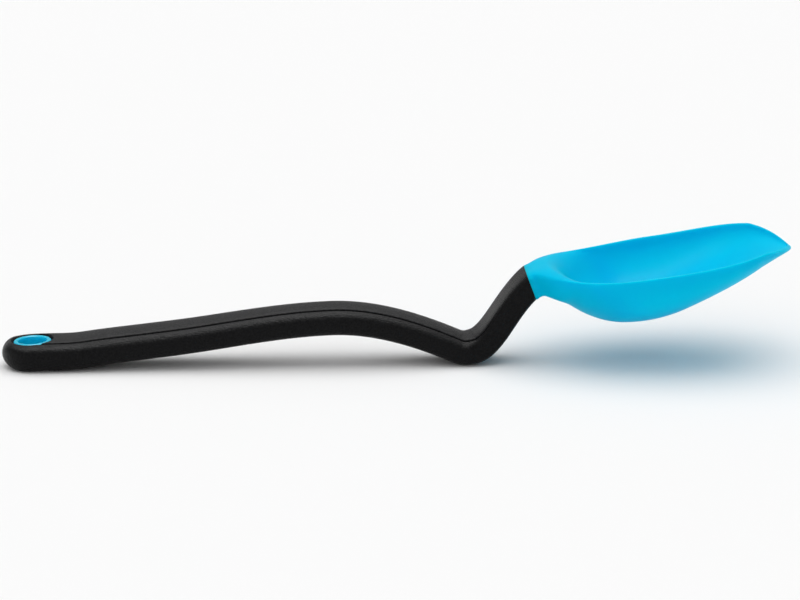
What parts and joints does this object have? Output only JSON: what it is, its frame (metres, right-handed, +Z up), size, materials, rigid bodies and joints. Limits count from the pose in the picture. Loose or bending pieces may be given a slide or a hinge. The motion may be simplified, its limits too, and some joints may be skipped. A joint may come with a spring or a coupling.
{
  "type": "spoon spatula",
  "caption": "Kitchen spoon spatula: deep soft scoop on an S-curved handle that rests on its tail and bend, with a hang hole.",
  "frame": {"origin": "centre of the footprint, on the bench that the handle stands on", "axes": "+X from the tail to the lip, +Y across the handle, +Z up from the bench"},
  "size_m": [0.2794, 0.0592, 0.0439],
  "materials": {
    "black_nylon": "spark-textured glass-filled nylon, dark grey sheen",
    "black_grip": "matte soft-touch over-moulding",
    "blue_silicone": "smooth satin silicone"
  },
  "bodies": {
    "root": {"core": "black_nylon", "grip": "black_grip", "spoon_head": "blue_silicone", "hang_eyelet": "blue_silicone"}
  },
  "joints": []
}
